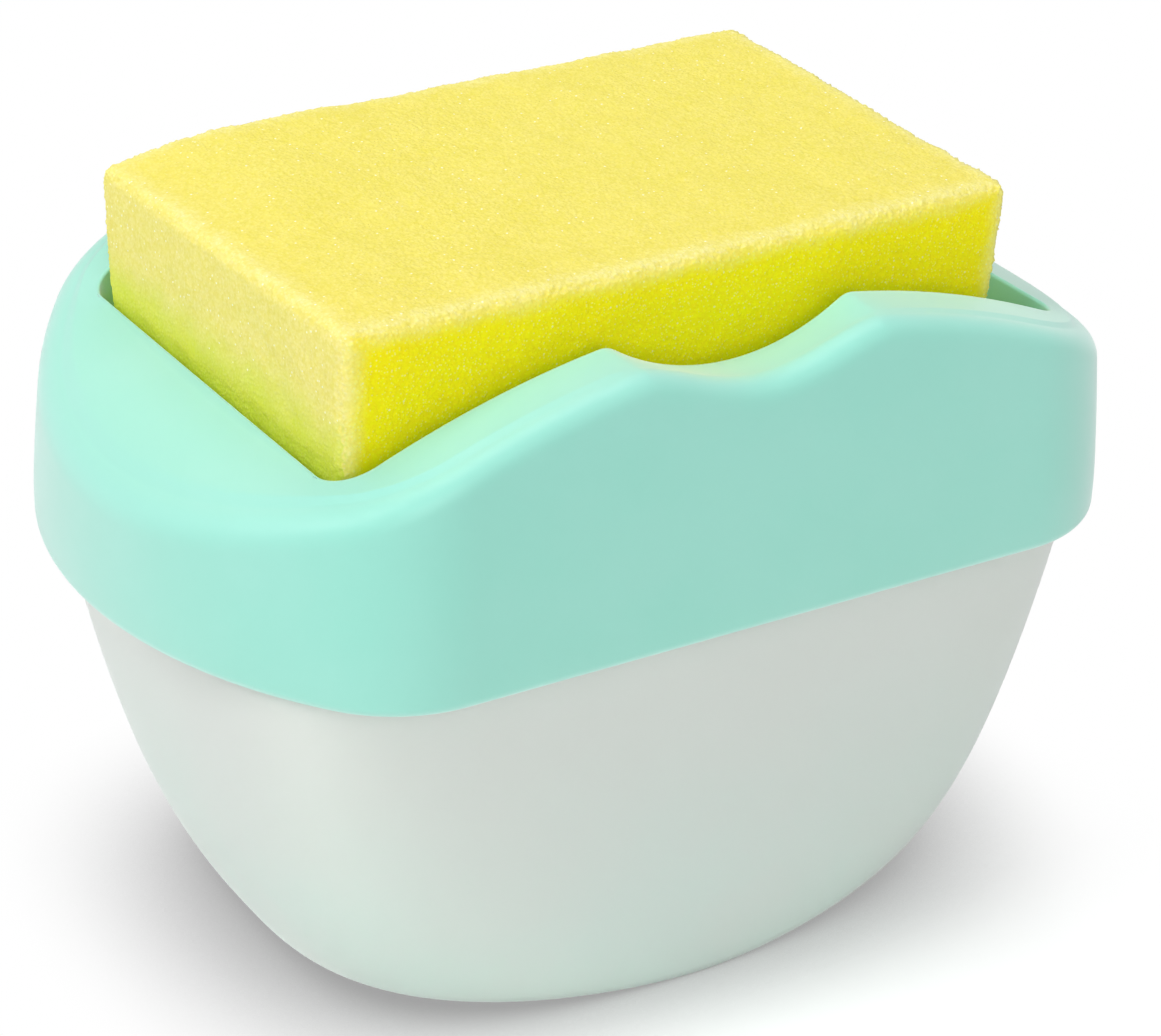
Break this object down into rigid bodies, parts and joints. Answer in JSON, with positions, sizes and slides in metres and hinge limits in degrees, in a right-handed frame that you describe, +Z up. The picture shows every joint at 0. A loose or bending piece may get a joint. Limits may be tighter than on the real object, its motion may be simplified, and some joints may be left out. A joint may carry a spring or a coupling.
{
  "type": "soap pump caddy",
  "caption": "Sink-side soap dispenser: a frosted reservoir under a rounded collar, with a sponge in its well on a sprung press plate that pumps soap up into the sponge.",
  "frame": {"origin": "middle of the reservoir's flat base, on the surface that it stands on", "axes": "+Z up, +X along the caddy's length, +Y towards its back in the pictured view"},
  "size_m": [0.1388, 0.09, 0.0991],
  "materials": {
    "collar": "smooth, soft gloss, slightly translucent mint",
    "tray": "smooth, soft gloss",
    "plate": "smooth, soft gloss",
    "reservoir": "frosted, translucent, almost white",
    "sponge": "fine open foam, matte",
    "seal": "matte",
    "pump_plastic": "smooth, soft gloss",
    "piston": "soft, slightly waxy",
    "spring_steel": "bright drawn wire",
    "ball_steel": "polished",
    "dip_tube": "translucent, smooth"
  },
  "bodies": {
    "reservoir": {"reservoir": "reservoir"},
    "upper": {"lid_tray": "tray", "collar": "collar", "rim_seal": "seal", "pump_nut": "tray", "pump_gasket": "seal", "pump_chamber": "pump_plastic", "stem_guide": "pump_plastic", "wiper_ring": "seal", "ball_cage": "pump_plastic", "dip_tube": "dip_tube", "return_spring": "spring_steel"},
    "plunger": {"press_plate": "plate", "outlet_cap": "pump_plastic", "stem": "pump_plastic", "piston_core": "pump_plastic", "piston": "piston"},
    "sponge": {"sponge": "sponge"},
    "inlet_ball": {"inlet_ball": "ball_steel"},
    "outlet_ball": {"outlet_ball": "ball_steel"}
  },
  "joints": [
    {"name": "upper_lift", "type": "slide", "parent": "reservoir", "child": "upper", "axis": [0, 0, 1], "range_m": [0, 0.07]},
    {"name": "press", "type": "slide", "parent": "upper", "child": "plunger", "axis": [0, 0, -1], "range_m": [0, 0.009], "stiffness_N_per_m": 300, "springref_m": -0.004, "deforming": ["return_spring"]},
    {"name": "sponge_lift", "type": "slide", "parent": "plunger", "child": "sponge", "axis": [0, 0, 1], "range_m": [0, 0.05]},
    {"name": "inlet_ball_lift", "type": "slide", "parent": "upper", "child": "inlet_ball", "axis": [0, 0, 1], "range_m": [0, 0.0012]},
    {"name": "outlet_ball_lift", "type": "slide", "parent": "plunger", "child": "outlet_ball", "axis": [0, 0, 1], "range_m": [0, 0.0008]}
  ]
}
